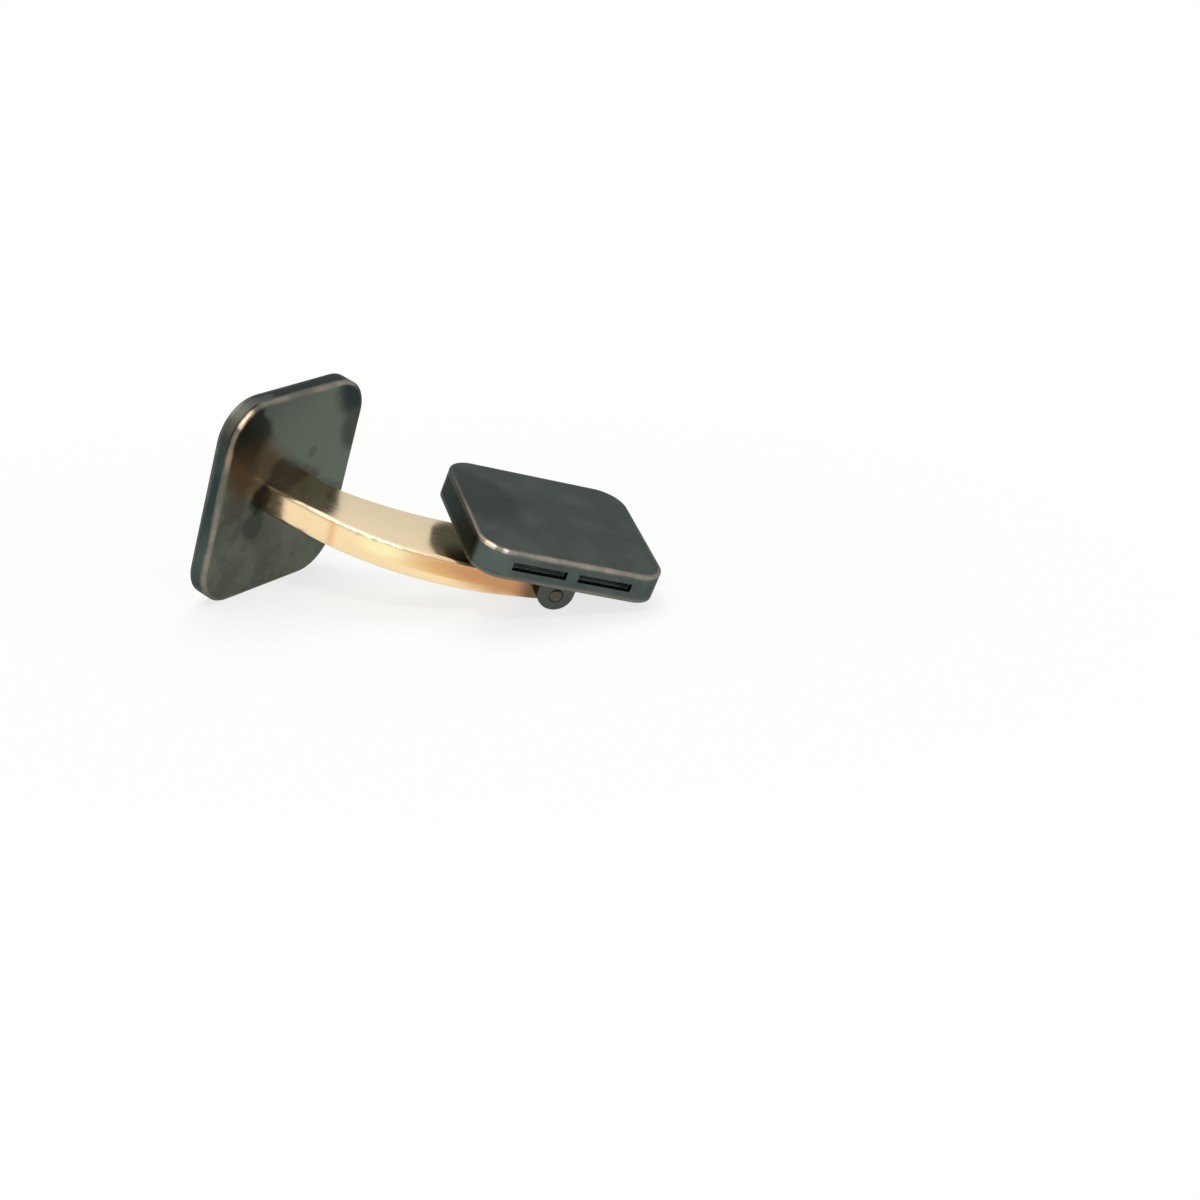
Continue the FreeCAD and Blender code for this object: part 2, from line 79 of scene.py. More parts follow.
head_place = axes_matrix(Vector(head_front["pos_m"]), into_bar, bar_up.cross(into_bar), bar_up)
bar_along = hinge_axis.cross(bar_up)
bar_place = axes_matrix(hinge_point, bar_along, hinge_axis, bar_up)
fold = Matrix.Rotation(math.radians(-hinge["range_deg"][0]), 3, hinge_axis)
toggle_place = axes_matrix(hinge_point, fold @ bar_along, hinge_axis, fold @ bar_up)
print("bar runs along", rounded(bar_along))

# %% Measure pieces along their own axes
def own_box(node, place):
    """Lowest and highest corner of a piece in millimetres, along its own axes."""
    points = [place.inverted() @ vertex.co for vertex in nodes[node].data.vertices]
    low = Vector(min(point[axis] for point in points) for axis in range(3))
    high = Vector(max(point[axis] for point in points) for axis in range(3))
    return low, high


for node, place in (("head_back_plate", head_place), ("toggle_top_plate", toggle_place)):
    low, high = own_box(node, place)
    print(node, "in mm", rounded(high - low))

# %% [markdown]
# ## The gold bar
# The real bar is a flat strip of gold-plated brass. It is bent edgewise, it widens towards the hinge, and
# years of wear have rounded its edges. Near the head its sides run parallel, and at the very end solder
# flares them a little. A curve with a bevel could follow the bend, but its width would be hard to control.
# So a block for the straight end is spun around the bend's centre, and each cross section is then scaled
# to its own width.

# %% Sizes of the bar, in millimetres and degrees
BEND_RADIUS = 20.4
BEND_SWEEP = 50.9
BEND_STEPS = 60
TAIL_LENGTH = 3.0
ROOT_WIDTH = 4.6
TIP_WIDTH = 6.5
TAPER_TURN = 42.0
FLARE_WIDTH = 0.3
FLARE_TURN = 43.0
BAR_THICKNESS = 2.34
NEAR_ZERO = 1e-3
bend_centre = Vector((-TAIL_LENGTH, BEND_RADIUS, 0))
bar_half = BAR_THICKNESS / 2
print("bar bends", BEND_SWEEP, "degrees round", rounded(bend_centre), "mm")

# %% Helpers to open a piece, to select by place and to find a cross section's middle
def edit(piece):
    """Open one piece for editing."""
    bpy.ops.object.select_all(action="DESELECT")
    bpy.context.view_layer.objects.active = piece
    piece.select_set(True)
    bpy.ops.object.mode_set(mode="EDIT")


def choose(piece, mode, wanted):
    """Select the faces, edges or vertices whose corners all pass a test."""
    bpy.ops.mesh.select_mode(type=mode)
    bpy.ops.mesh.select_all(action="DESELECT")
    bpy.ops.object.mode_set(mode="OBJECT")
    mesh = piece.data
    group = {"VERT": mesh.vertices, "EDGE": mesh.edges, "FACE": mesh.polygons}[mode]
    for item in group:
        corners = [item.index] if mode == "VERT" else item.vertices
        item.select = all(wanted(mesh.vertices[corner].co) for corner in corners)
    bpy.ops.object.mode_set(mode="EDIT")


def bend_turn(point):
    """How far round the bend a point of the bar lies, in degrees; below zero on the straight end."""
    return math.degrees(math.atan2(bend_centre.x - point.x, bend_centre.y - point.y))


def bend_middle(turn):
    """The middle of the bar's cross section at a turn in degrees."""
    lean = math.radians(turn)
    return bend_centre - BEND_RADIUS * Vector((math.sin(lean), math.cos(lean), 0))


print("root's middle in mm", rounded(bend_middle(BEND_SWEEP)))

# %% Block out the straight end
bpy.ops.object.select_all(action="DESELECT")
bpy.ops.mesh.primitive_cube_add(size=1, location=((bar_half - TAIL_LENGTH) / 2, 0, 0))
gold_bar = bpy.context.object
gold_bar.name = "gold_bar"
gold_bar.scale = (bar_half + TAIL_LENGTH, TIP_WIDTH, BAR_THICKNESS)
bpy.ops.object.transform_apply(location=True, rotation=True, scale=True)
print("block in mm", rounded(gold_bar.dimensions))

# %% Spin its inner end round the bend, then scale each cross section to its width
step_turn = BEND_SWEEP / BEND_STEPS
edit(gold_bar)
choose(gold_bar, "FACE", lambda point: abs(point.x + TAIL_LENGTH) < NEAR_ZERO)
bpy.ops.mesh.spin(
    steps=BEND_STEPS, angle=math.radians(BEND_SWEEP), center=bend_centre, axis=(0, 0, 1)
)
for step in range(1, BEND_STEPS + 1):
    turn = step * step_turn
    choose(gold_bar, "VERT", lambda point: abs(bend_turn(point) - turn) < step_turn / 2)
    taper = min(1, turn / TAPER_TURN) ** 2
    flare = max(0, (turn - FLARE_TURN) / (BEND_SWEEP - FLARE_TURN))
    width = TIP_WIDTH + (ROOT_WIDTH - TIP_WIDTH) * taper + FLARE_WIDTH * flare
    share = width / TIP_WIDTH
    bpy.ops.transform.resize(value=(share, share, 1), center_override=bend_middle(turn))
bpy.ops.object.mode_set(mode="OBJECT")
print("bent bar in mm", rounded(gold_bar.dimensions))

# %% Round the worn edges
# The root's end face is taken off first, so that its edges stay sharp where they stand on the head.
EDGE_ROUND = 0.4
TIP_ROUND = 0.15
EDGE_SEGMENTS = 6
SHARP = math.radians(60)


def at_root(point):
    """Whether a point is on the bar's last cross section."""
    return abs(bend_turn(point) - BEND_SWEEP) < step_turn / 2


edit(gold_bar)
choose(gold_bar, "FACE", at_root)
bpy.ops.mesh.delete(type="ONLY_FACE")
for way in (-1, 1):
    choose(
        gold_bar, "EDGE",
        lambda point: abs(point.x - bar_half) < NEAR_ZERO and way * point.y > TIP_WIDTH / 2 - NEAR_ZERO,
    )
    bpy.ops.mesh.bevel(offset=TIP_ROUND, segments=EDGE_SEGMENTS, affect="EDGES")
bpy.ops.mesh.select_all(action="DESELECT")
bpy.ops.mesh.edges_select_sharp(sharpness=SHARP)
bpy.ops.mesh.bevel(offset=EDGE_ROUND, segments=EDGE_SEGMENTS, affect="EDGES")
bpy.ops.object.mode_set(mode="OBJECT")
print("rounded bar has", len(gold_bar.data.polygons), "faces")

# %% Close the root with the tenon that goes into the head
TENON_WIDTH = 3.0
TENON_THICKNESS = 1.3
TENON_LENGTH = 0.45
narrow = TENON_WIDTH / (ROOT_WIDTH + FLARE_WIDTH)
thin = TENON_THICKNESS / BAR_THICKNESS
root_middle = bend_middle(BEND_SWEEP)
root_lean = math.radians(BEND_SWEEP)
root_outward = Vector((-math.cos(root_lean), math.sin(root_lean), 0))
edit(gold_bar)
bpy.ops.mesh.select_mode(type="EDGE")
bpy.ops.mesh.select_all(action="DESELECT")
bpy.ops.mesh.select_non_manifold()
bpy.ops.mesh.edge_face_add()
bpy.ops.mesh.select_mode(type="FACE")
bpy.ops.mesh.extrude_region()
bpy.ops.transform.resize(value=(narrow, narrow, thin), center_override=root_middle)
bpy.ops.mesh.extrude_region_move(TRANSFORM_OT_translate={"value": root_outward * TENON_LENGTH})
bpy.ops.mesh.select_all(action="SELECT")
bpy.ops.mesh.normals_make_consistent(inside=False)
bpy.ops.object.mode_set(mode="OBJECT")
print("bar with its tenon in mm", rounded(gold_bar.dimensions))

# %% Bore the bar for the hinge pin
PIN_BORE = 1.16
BORE_SIDES = 64
bpy.ops.object.select_all(action="DESELECT")
bpy.ops.mesh.primitive_cylinder_add(
    vertices=BORE_SIDES, radius=PIN_BORE / 2, depth=2 * TIP_WIDTH, rotation=(math.radians(90), 0, 0)
)
drill = bpy.context.object
bpy.context.view_layer.objects.active = gold_bar
bore = gold_bar.modifiers.new("bore", "BOOLEAN")
bore.object = drill
bore.operation = "DIFFERENCE"
bore.solver = "EXACT"
bpy.ops.object.modifier_apply(modifier=bore.name)
bpy.data.objects.remove(drill)
print("bored bar has", len(gold_bar.data.polygons), "faces")

# %% Smooth the bar and put it in its place
SMOOTH_BELOW = math.radians(35)


def settle(piece, place):
    """Shade a piece smooth and move it from its own millimetres to its place in the world."""
    piece.matrix_world = place
    bpy.ops.object.select_all(action="DESELECT")
    bpy.context.view_layer.objects.active = piece
    piece.select_set(True)
    bpy.ops.object.transform_apply(location=True, rotation=True, scale=True)
    bpy.ops.object.shade_smooth_by_angle(angle=SMOOTH_BELOW)


settle(gold_bar, bar_place)
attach(gold_bar, "stem")
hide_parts("curved_bar")
print("gold bar from", rounded(value / MM for value in gold_bar.bound_box[0]), "mm")

# %% [markdown]
# ## Tools for finishes
# A finish is a tree of nodes. One small function adds a node, sets its values and links what feeds it.
# Inputs are given by name or by number: Map Range counts its value as 0, the range it comes from as 1 and
# 2 and the range it goes to as 3 and 4, and Mix has its share at 0 and its colours at 6 and 7.
# Colours are written as the hex codes that a colour picker shows, and turned into the linear light that
# Blender mixes in. Patterns need a piece's own millimetres, so a Mapping node undoes its place in the world.

# %% Colours and nodes
def linear(code):
    """An sRGB hex colour as linear light."""
    parts = [int(code[start:start + 2], 16) / 255 for start in (1, 3, 5)]
    light = [part / 12.92 if part <= 0.04045 else ((part + 0.055) / 1.055) ** 2.4 for part in parts]
    return (*light, 1.0)


def add_node(tree, kind, inputs=None, **settings):
    """Add a node. Each input is a value, or the output of another node."""
    node = tree.nodes.new("ShaderNode" + kind)
    for name, value in settings.items():
        setattr(node, name, value)
    for key, value in (inputs or {}).items():
        if isinstance(value, bpy.types.NodeSocket):
            tree.links.new(value, node.inputs[key])
        else:
            node.inputs[key].default_value = value
    return node


print("a middle grey is", rounded(linear("#808080")), "in linear light")

# %% A bare metal, and a piece's own millimetres
def new_metal(name):
    """A bare metal, with the tree and the shader that its finish is built on."""
    metal = bpy.data.materials.new(name)
    metal.use_nodes = True
    shader = metal.node_tree.nodes["Principled BSDF"]
    shader.inputs["Metallic"].default_value = 1
    return metal, metal.node_tree, shader


def own_millimetres(tree, place):
    """Object coordinates, turned into millimetres along a piece's own axes."""
    location, rotation, scale = place.inverted().decompose()
    world = add_node(tree, "TexCoord").outputs["Object"]
    inputs = {"Vector": world, "Location": location, "Rotation": rotation.to_euler(), "Scale": scale}
    return add_node(tree, "Mapping", inputs).outputs["Vector"]


def dress(metal, *pieces):
    """Give pieces a metal as their only material."""
    for piece in pieces:
        piece.data.materials.clear()
        piece.data.materials.append(metal)
    print(metal.name, "on", [piece.name for piece in pieces])


# %% [markdown]
# ## Gold-plated bar
# The plating is a pale yellow gold that was polished by hand, so it mirrors the head and the table softly.
# Near the hinge the toggle has rubbed its narrow sides down to a redder, coppery metal, which on the upper half
# is partly a painted reflection, and beside the ears the bar is painted darker as shade. In the middle of the bend
# handling has burnished the outer side and dented its edges, and the burnished patch is also a painted highlight.
# The wear follows the bend, so the turn around the bend's centre is worked out with an arctangent, and
# patterns are laid out along the bend as if the bar were straight.

# %% The bar laid out straight
STRETCH = 0.12
gold, tree, shader = new_metal("rolled_gold_polished")
own = own_millimetres(tree, bar_place)
to_centre = add_node(tree, "VectorMath", {0: bend_centre, 1: own}, operation="SUBTRACT").outputs[0]
parts = add_node(tree, "SeparateXYZ", {0: to_centre}).outputs
turn = add_node(tree, "Math", {0: parts["X"], 1: parts["Y"]}, operation="ARCTAN2").outputs[0]
degrees = add_node(tree, "Math", {0: turn}, operation="DEGREES").outputs[0]
reach = add_node(tree, "VectorMath", {0: to_centre}, operation="LENGTH").outputs["Value"]
along = add_node(tree, "Math", {0: turn, 1: BEND_RADIUS * STRETCH}, operation="MULTIPLY").outputs[0]
straight = add_node(tree, "CombineXYZ", {0: along, 1: reach, 2: parts["Z"]}).outputs[0]
print("patterns are drawn out", round(1 / STRETCH, 1), "times along the bend")

# %% Rolled gold: cream on the broad faces, a deeper yellow on the narrow sides, partly painted light
# The bar is solid, so every point of its surface that lies below the edges' rounding is on a side.
PALE_GOLD = "#F2DDB8"
YELLOW_GOLD = "#FEE1B1"
CLOUD_MM = 2.6
CLOUD_LOW = 0.38
CLOUD_HIGH = 0.68
CLOUD_TINT = 0.3
cloud = add_node(
    tree, "TexNoise", {"Vector": own, "Scale": 1 / CLOUD_MM, "Detail": 4, "Roughness": 0.6}
).outputs[0]
height = add_node(tree, "Math", {0: parts["Z"]}, operation="ABSOLUTE").outputs[0]
side = add_node(tree, "MapRange", {0: height, 1: bar_half, 2: bar_half - EDGE_ROUND}).outputs[0]
tint = add_node(tree, "MapRange", {0: cloud, 1: CLOUD_LOW, 2: CLOUD_HIGH, 4: CLOUD_TINT}).outputs[0]
# The sides' deeper yellow is partly the plating's own tint and partly painted light, for the warmer light that the
# gold casts onto them.
yellow = add_node(tree, "Math", {0: tint, 1: side}, operation="MAXIMUM").outputs[0]
colour = add_node(
    tree, "Mix", {0: yellow, 6: linear(PALE_GOLD), 7: linear(YELLOW_GOLD)}, data_type="RGBA"
).outputs[2]
print("yellow starts", EDGE_ROUND, "mm below the broad faces")

# %% Streaks of deeper gold on the sides, towards the hinge
# Streaks gather on the upper half, so the noise leans with the height.
DEEP_GOLD = "#DCAA64"
STREAK_MM = 0.8
STREAK_LOW = 0.29
STREAK_HIGH = 0.49
STREAK_TINT = 0.75
STREAK_LEAN = 0.2
STREAK_FROM = 24.0
STREAK_FULL = 15.0
streak = add_node(tree, "TexNoise", {"Vector": straight, "Scale": 1 / STREAK_MM, "Detail": 2}).outputs[0]
streak = add_node(
    tree, "Math", {0: parts["Z"], 1: -STREAK_LEAN, 2: streak}, operation="MULTIPLY_ADD"
).outputs[0]
streak = add_node(
    tree, "MapRange", {0: streak, 1: STREAK_LOW, 2: STREAK_HIGH, 4: STREAK_TINT},
    interpolation_type="SMOOTHSTEP",
).outputs[0]
streaky = add_node(tree, "MapRange", {0: degrees, 1: STREAK_FROM, 2: STREAK_FULL, 4: side}).outputs[0]
streak = add_node(tree, "Math", {0: streak, 1: streaky}, operation="MULTIPLY").outputs[0]
colour = add_node(tree, "Mix", {0: streak, 6: colour, 7: linear(DEEP_GOLD)}, data_type="RGBA").outputs[2]
print("streaks below", STREAK_FROM, "degrees")

# %% Copper where the toggle rubs, and painted shade beside the ears
# The copper reaches further round the bend on the upper half, so the turn leans with the height; there it is
# partly rubbed metal and partly a painted orange reflection. A noise makes its end ragged; noise swings about a
# half, so half of its reach is added to the limits.
RUBBED_COPPER = "#CE986B"
EAR_SHADE_BROWN = "#7A6048"
RUB_FROM = 4.0
RUB_TO = 19.5
RUB_AND_REFLECTION_LEAN = 10.0
RUB_AND_REFLECTION_LEAN_TO = 0.3
RUB_CLOUD = 10.0
RUB_ON_TOP = 0.2
EAR_SHADE_FROM = -3.5
EAR_SHADE_TO = 0.5
# Leaning with the height paints an orange reflection onto the upper half, on top of the rubbed copper.
leaning = add_node(tree, "Math", {0: parts["Z"], 1: -RUB_AND_REFLECTION_LEAN_TO}, operation="MAXIMUM").outputs[0]
leaning = add_node(
    tree, "Math", {0: leaning, 1: RUB_AND_REFLECTION_LEAN, 2: degrees}, operation="MULTIPLY_ADD"
).outputs[0]
ragged = add_node(
    tree, "Math", {0: cloud, 1: RUB_CLOUD, 2: leaning}, operation="MULTIPLY_ADD"
).outputs[0]
limits = {1: RUB_FROM + RUB_CLOUD / 2, 2: RUB_TO + RUB_CLOUD / 2}
rub = add_node(
    tree, "MapRange", {0: ragged, 3: 1, 4: 0, **limits}, interpolation_type="SMOOTHSTEP"
).outputs[0]
open_side = add_node(tree, "MapRange", {0: side, 3: RUB_ON_TOP}).outputs[0]
rub = add_node(tree, "Math", {0: rub, 1: open_side}, operation="MULTIPLY").outputs[0]
colour = add_node(
    tree, "Mix", {0: rub, 6: colour, 7: linear(RUBBED_COPPER)}, data_type="RGBA"
).outputs[2]
# Painted shade: the bar is painted browner beside the ears, where the ears shade it.
ear_shade = add_node(
    tree, "MapRange", {0: degrees, 1: EAR_SHADE_FROM, 2: EAR_SHADE_TO, 3: 1, 4: 0}, interpolation_type="SMOOTHSTEP"
).outputs[0]
colour = add_node(tree, "Mix", {0: ear_shade, 6: colour, 7: linear(EAR_SHADE_BROWN)}, data_type="RGBA").outputs[2]
print("copper fades out between", RUB_FROM, "and", RUB_TO, "degrees")

# %% A burnished patch on the outer side, in the middle of the bend, that is also a painted highlight
# The patch is an oval: its place and its half sizes are a turn in degrees and a height in millimetres.
BURNISH_AND_HIGHLIGHT_GOLD = "#FFF4BC"
PATCH_PLACE = (25.5, -0.5, 0)
PATCH_HALF = (6.5, 0.95, 1)
PATCH_CORE = 0.2
oval = add_node(tree, "CombineXYZ", {0: degrees, 1: parts["Z"]}).outputs[0]
oval = add_node(tree, "VectorMath", {0: oval, 1: PATCH_PLACE}, operation="SUBTRACT").outputs[0]
oval = add_node(tree, "VectorMath", {0: oval, 1: PATCH_HALF}, operation="DIVIDE").outputs[0]
away = add_node(tree, "VectorMath", {0: oval}, operation="LENGTH").outputs["Value"]
outer = add_node(tree, "Math", {0: reach, 1: BEND_RADIUS}, operation="GREATER_THAN").outputs[0]
patch = add_node(
    tree, "MapRange", {0: away, 1: 1, 2: PATCH_CORE, 4: side}, interpolation_type="SMOOTHSTEP"
).outputs[0]
patch = add_node(tree, "Math", {0: patch, 1: outer}, operation="MULTIPLY").outputs[0]
# The paler gold is partly burnished plating and partly a painted highlight of the light on the rounded edge.
colour = add_node(
    tree, "Mix", {0: patch, 6: colour, 7: linear(BURNISH_AND_HIGHLIGHT_GOLD)}, data_type="RGBA"
).outputs[2]
print("burnished", PATCH_HALF[0], "degrees to each side of", PATCH_PLACE[0])

# %% The sides near the head, filed clean after soldering
# The file took off the streaks and left a paler gold, with a darker line where it stopped.
FILED_GOLD = "#FADDB0"
FILED_FROM = 35.2
FILE_LINE = 1.3
FILE_LINE_TINT = 0.6
past = add_node(tree, "Math", {0: degrees, 1: FILED_FROM}, operation="SUBTRACT").outputs[0]
filed = add_node(tree, "MapRange", {0: past, 2: FILE_LINE}).outputs[0]
filed = add_node(tree, "Math", {0: filed, 1: side}, operation="MULTIPLY").outputs[0]
colour = add_node(tree, "Mix", {0: filed, 6: colour, 7: linear(FILED_GOLD)}, data_type="RGBA").outputs[2]
beside = add_node(tree, "Math", {0: past}, operation="ABSOLUTE").outputs[0]
stop = add_node(tree, "MapRange", {0: beside, 1: FILE_LINE, 2: 0, 4: FILE_LINE_TINT}).outputs[0]
stop = add_node(tree, "Math", {0: stop, 1: side}, operation="MULTIPLY").outputs[0]
colour = add_node(tree, "Mix", {0: stop, 6: colour, 7: linear(DEEP_GOLD)}, data_type="RGBA").outputs[2]
print("filed past", FILED_FROM, "degrees")

# %% Brown heat tint on the faces beside the solder, partly a painted reflection of the dark head
HEAT_AND_REFLECTION_TINT = "#DCC2A2"
HEAT_AND_REFLECTION_FROM = 36.0
HEAT_AND_REFLECTION_FULL = 46.0
heat = add_node(
    tree, "MapRange", {0: degrees, 1: HEAT_AND_REFLECTION_FROM, 2: HEAT_AND_REFLECTION_FULL}, interpolation_type="SMOOTHSTEP"
).outputs[0]
heat = add_node(tree, "MapRange", {0: side, 3: heat, 4: 0}).outputs[0]
colour = add_node(tree, "Mix", {0: heat, 6: colour, 7: linear(HEAT_AND_REFLECTION_TINT)}, data_type="RGBA").outputs[2]
tree.links.new(colour, shader.inputs["Base Color"])
print("tinted by heat past", HEAT_AND_REFLECTION_FROM, "degrees")

# %% Scratches along the bend, and the waves that hand polishing leaves
# They make the mirror soft. Real scratches are finer, and are drawn this coarse so that they show.
SCRATCH_MM = 0.16
SCRATCH_LOW = 0.3
SCRATCH_HIGH = 0.75
SCRATCH_DEPTH = 0.003
GLOSSY = 0.12
SCRATCHED = 0.26
WAVE_MM = 3.4
WAVE_HEIGHT = 0.05
SOFT_BUMP = 0.5
scratch = add_node(
    tree, "TexNoise", {"Vector": straight, "Scale": 1 / SCRATCH_MM, "Detail": 3, "Roughness": 0.7}
).outputs[0]
wave = add_node(tree, "TexNoise", {"Vector": own, "Scale": 1 / WAVE_MM, "Detail": 1}).outputs[0]
limits = {1: SCRATCH_LOW, 2: SCRATCH_HIGH, 3: GLOSSY, 4: SCRATCHED}
dull = add_node(tree, "MapRange", {0: scratch, **limits}).outputs[0]
tree.links.new(dull, shader.inputs["Roughness"])
waves = add_node(
    tree, "Bump", {"Height": wave, "Distance": WAVE_HEIGHT * MM, "Strength": SOFT_BUMP}
).outputs[0]
lines = add_node(
    tree, "Bump",
    {"Height": scratch, "Distance": SCRATCH_DEPTH * MM, "Strength": SOFT_BUMP, "Normal": waves},
).outputs[0]
print("gold is between", GLOSSY, "and", SCRATCHED, "rough")

# %% Small dents along the edges of the outer side, in the middle of the bend
# They break the highlight on the edge into separate glints. An edge is where the side begins: there the
# ping-pong of the side's share rises to a half and falls again, so its noise is given twice the depth.
DENT_MM = 0.75
DENT_DEPTH = 0.2
DENTS_PLACE = 29.0
DENTS_HALF = 9.0
HALF = 0.5
dent = add_node(tree, "TexNoise", {"Vector": own, "Scale": 1 / DENT_MM, "Detail": 1}).outputs[0]
dent = add_node(tree, "Math", {0: dent, 1: HALF}, operation="SUBTRACT").outputs[0]
edge = add_node(tree, "Math", {0: side, 1: HALF}, operation="PINGPONG").outputs[0]
aside = add_node(tree, "Math", {0: degrees, 1: DENTS_PLACE}, operation="SUBTRACT").outputs[0]
aside = add_node(tree, "Math", {0: aside}, operation="ABSOLUTE").outputs[0]
dented = add_node(tree, "MapRange", {0: aside, 1: DENTS_HALF, 2: DENTS_HALF / 2, 4: edge}).outputs[0]
dented = add_node(tree, "Math", {0: dented, 1: outer}, operation="MULTIPLY").outputs[0]
dent = add_node(tree, "Math", {0: dent, 1: dented}, operation="MULTIPLY").outputs[0]
dents = add_node(
    tree, "Bump", {"Height": dent, "Distance": 2 * DENT_DEPTH * MM, "Normal": lines}
).outputs[0]
tree.links.new(dents, shader.inputs["Normal"])
dress(gold, gold_bar)

# %% [markdown]
# ## Blackened plates
# The four plates are brass sheet that was polished and then blackened. The dark film is thin and cloudy,
# and it has rubbed off along the outer arris, where a paler metal shows. To find the arris, two distances
# are added: from the plate's rounded outline, and from its outer face. Inside the box the sheet stayed raw.

# %% Distance from a rounded outline
FAR = 1000.0


def outline_distance(tree, own, box, corner, flat_axis):
    """Millimetres from a rounded rectangle's edge, below zero inside it."""
    low, high = box
    middle = (low + high) / 2
    reach = (high - low) / 2 - Vector((corner, corner, corner))
    reach[flat_axis] = FAR
    centred = add_node(tree, "VectorMath", {0: own, 1: middle}, operation="SUBTRACT").outputs[0]
    mirrored = add_node(tree, "VectorMath", {0: centred}, operation="ABSOLUTE").outputs[0]
    past = add_node(tree, "VectorMath", {0: mirrored, 1: reach}, operation="SUBTRACT").outputs[0]
    outside = add_node(tree, "VectorMath", {0: past, 1: (0, 0, 0)}, operation="MAXIMUM").outputs[0]
    beyond = add_node(tree, "VectorMath", {0: outside}, operation="LENGTH").outputs["Value"]
    sides = add_node(tree, "SeparateXYZ", {0: past}).outputs
    wider = add_node(tree, "Math", {0: sides[0], 1: sides[1]}, operation="MAXIMUM").outputs[0]
    widest = add_node(tree, "Math", {0: wider, 1: sides[2]}, operation="MAXIMUM").outputs[0]
    inside = add_node(tree, "Math", {0: widest, 1: 0}, operation="MINIMUM").outputs[0]
    total = add_node(tree, "Math", {0: beyond, 1: inside}, operation="ADD").outputs[0]
    return add_node(tree, "Math", {0: total, 1: corner}, operation="SUBTRACT").outputs[0]


# %% A cloudy film on brass
# The film swallows light at every angle, so its edge tint is a grey; bare metal would turn white at a slant.
FILM_EDGE = "#C4C4C4"
FILM_CLOUD_MM = 3.2
FILM_CLOUD_LOW = 0.38
FILM_CLOUD_HIGH = 0.64


def film(tree, shader, own, dark, light):
    """A cloudy film between two colours. Gives its colour and its clouds."""
    shader.inputs["Specular Tint"].default_value = linear(FILM_EDGE)
    cloud = add_node(
        tree, "TexNoise", {"Vector": own, "Scale": 1 / FILM_CLOUD_MM, "Detail": 5, "Roughness": 0.6}
    ).outputs[0]
    share = add_node(
        tree, "MapRange", {0: cloud, 1: FILM_CLOUD_LOW, 2: FILM_CLOUD_HIGH}, interpolation_type="SMOOTHSTEP"
    ).outputs[0]
    colour = add_node(
        tree, "Mix", {0: share, 6: linear(dark), 7: linear(light)}, data_type="RGBA"
    ).outputs[2]
    return colour, cloud


# %% Stains on a film
# Each stain is a soft round blotch. A row gives its place along the two axes of the sheet and its radius,
# all in millimetres, then its colour and its strength. A crisper stain also gives its core and its skirt.
STAIN_RAGGED = 2.0
STAIN_CORE = 0.6
STAIN_SKIRT = 1.2


def blotches(tree, own, colour, cloud, rows, flat_axis, mask=1):
    """Lay stains over a film, one over the other, where the mask is 1."""
    in_plane = [0 if axis == flat_axis else 1 for axis in range(3)]
    flat = add_node(tree, "VectorMath", {0: own, 1: in_plane}, operation="MULTIPLY").outputs[0]
    for first, second, radius, code, strength, *crisp in rows:
        core, skirt = crisp or (STAIN_CORE * radius, STAIN_SKIRT * radius)
        place = [first, second]
        place.insert(flat_axis, 0)
        away = add_node(tree, "VectorMath", {0: flat, 1: place}, operation="DISTANCE").outputs["Value"]
        uneven = STAIN_RAGGED * min(1, radius)
        ragged = add_node(
            tree, "Math", {0: cloud, 1: uneven, 2: away}, operation="MULTIPLY_ADD"
        ).outputs[0]
        limits = {1: skirt + uneven / 2, 2: core + uneven / 2}
        share = add_node(
            tree, "MapRange", {0: ragged, 4: strength, **limits}, interpolation_type="SMOOTHSTEP"
        ).outputs[0]
        share = add_node(tree, "Math", {0: share, 1: mask}, operation="MULTIPLY").outputs[0]
        colour = add_node(tree, "Mix", {0: share, 6: colour, 7: linear(code)}, data_type="RGBA").outputs[2]
    return colour


# %% Depths in a plate, and where it is raw
RAW_DEPTH = 0.43
RAW_INSET = 0.3


def sheet_depths(tree, own, box, corner, outward, flat_axis):
    """Millimetres below a plate's outer face and from its outline, and 1 where the sheet is raw."""
    low, high = box
    face = max(low.dot(outward), high.dot(outward))
    height = add_node(tree, "VectorMath", {0: own, 1: outward}, operation="DOT_PRODUCT").outputs["Value"]
    depth = add_node(tree, "Math", {0: face, 1: height}, operation="SUBTRACT").outputs[0]
    distance = outline_distance(tree, own, box, corner, flat_axis)
    under = add_node(tree, "Math", {0: depth, 1: RAW_DEPTH}, operation="GREATER_THAN").outputs[0]
    within = add_node(tree, "Math", {0: distance, 1: -RAW_INSET}, operation="LESS_THAN").outputs[0]
    raw = add_node(tree, "Math", {0: under, 1: within}, operation="MULTIPLY").outputs[0]
    return depth, distance, raw


# %% Where the outer arris is rubbed bare
# Fingers wear one side more than the other, so the wear grows along a direction that points to that side.
RUB_MM = 2.4
RUB_LOW = 0.34
RUB_HIGH = 0.62
RAGGED_MM = 0.16
BARE_TO = 0.16
FILM_FROM = 0.38
WEAR_FROM = -3.0
WEAR_FULL = 5.0
WEAR_LEAST = 0.15


